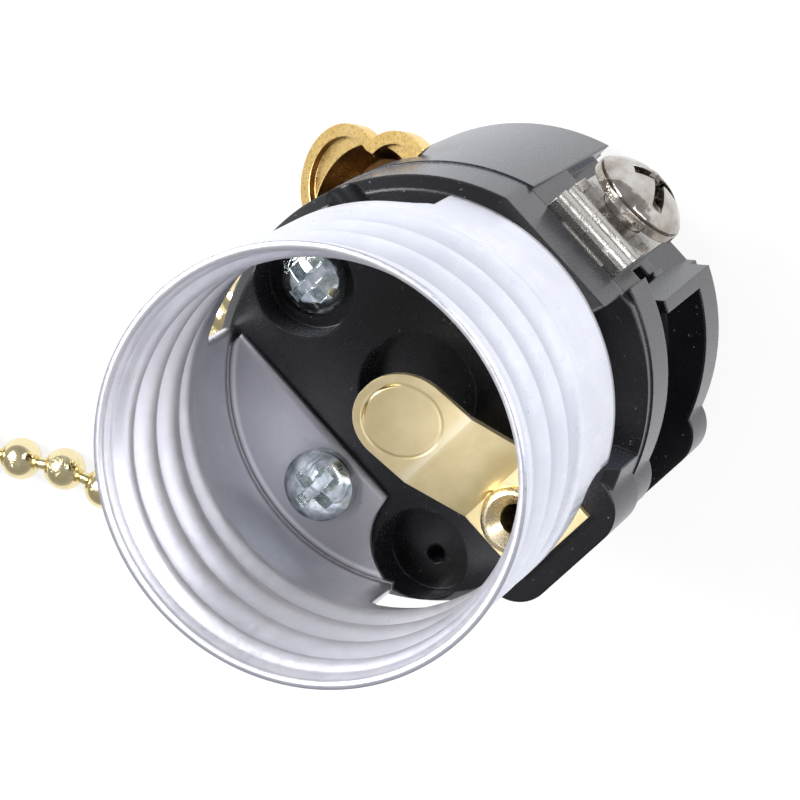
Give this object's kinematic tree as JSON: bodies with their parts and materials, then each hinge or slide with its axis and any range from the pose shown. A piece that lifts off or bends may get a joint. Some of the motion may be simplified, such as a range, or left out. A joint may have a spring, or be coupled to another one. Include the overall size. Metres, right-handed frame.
{
  "type": "lamp socket with pull chain",
  "caption": "Pull-chain lamp socket interior: threaded aluminium shell on a black moulded switch body with side terminals, centre contact, brass chain guide and bead chain.",
  "frame": {"origin": "centre of the moulded body's rear face", "axes": "+Z along the socket's axis towards the lamp, +X towards the neutral terminal, +Y towards the chain guide"},
  "size_m": [0.0679, 0.0451, 0.046],
  "materials": {
    "aluminium_shell": "satin",
    "black_moulding": "satin",
    "zinc_screw": "bright zinc",
    "brass_contact": "satin",
    "brass_rivet": "satin",
    "brass_guide": "satin",
    "nickel_terminal": "nickel plate",
    "nickel_screw": "bright nickel",
    "brass_terminal": "satin",
    "brass_screw": "bright",
    "brass_chain": "polished",
    "switch_moulding": "matte",
    "spring_steel": "plain"
  },
  "bodies": {
    "housing": {"screw_shell": "aluminium_shell", "front_body": "black_moulding", "rear_body": "black_moulding", "chain_guide": "brass_guide", "centre_contact": "brass_contact", "contact_rivet": "brass_rivet", "shell_screw": "zinc_screw", "body_screw": "zinc_screw", "neutral_terminal": "nickel_terminal", "line_terminal": "brass_terminal", "load_contact": "brass_contact", "return_spring": "spring_steel", "detent_spring": "spring_steel"},
    "chain": {"chain_beads": "brass_chain", "chain_links": "brass_chain"},
    "inner_chain": {"inner_beads": "brass_chain", "inner_link": "brass_chain"},
    "drum": {"chain_drum": "switch_moulding", "switch_shaft": "spring_steel", "anchor_beads": "brass_chain"},
    "rotor": {"contact_rotor": "switch_moulding", "ratchet_wheel": "spring_steel", "rotor_bridge": "brass_contact"},
    "pawl": {"drum_pawl": "spring_steel"},
    "neutral_screw": {"neutral_terminal_screw": "nickel_screw"},
    "line_screw": {"line_terminal_screw": "brass_screw"}
  },
  "joints": [
    {"name": "chain_pull", "type": "slide", "parent": "housing", "child": "chain", "axis": [-1, 0, 0], "range_m": [0, 0.0065], "stiffness_N_per_m": 80},
    {"name": "inner_chain_pull", "type": "slide", "parent": "housing", "child": "inner_chain", "axis": [0, 0.9659, 0.2588], "range_m": [0, 0.0066]},
    {"name": "drum_turn", "type": "hinge", "parent": "housing", "child": "drum", "pos_m": [0.003, 0.00443, 0.00885], "axis": [-1, 0, 0], "range_deg": [0, 90]},
    {"name": "rotor_turn", "type": "hinge", "parent": "housing", "child": "rotor", "pos_m": [-0.003, 0.00443, 0.00885], "axis": [-1, 0, 0], "range_deg": [0, 90]},
    {"name": "pawl_lift", "type": "hinge", "parent": "drum", "child": "pawl", "pos_m": [0, -0.00003, 0.00722], "axis": [-1, 0, 0], "range_deg": [0, 10], "stiffness_Nm_per_rad": 0.0004},
    {"name": "neutral_screw_travel", "type": "slide", "parent": "housing", "child": "neutral_screw", "axis": [1, 0, 0], "range_m": [-0.0008, 0.0015]},
    {"name": "line_screw_travel", "type": "slide", "parent": "housing", "child": "line_screw", "axis": [-1, 0, 0], "range_m": [-0.0008, 0.0015]}
  ],
  "couplings": [
    {"joint": "inner_chain_pull", "follows": "chain_pull", "ratio": 1},
    {"joint": "drum_turn", "follows": "chain_pull", "rad_per_m": 238.1},
    {"joint": "rotor_turn", "follows": "chain_pull", "rad_per_m": 238.1}
  ]
}
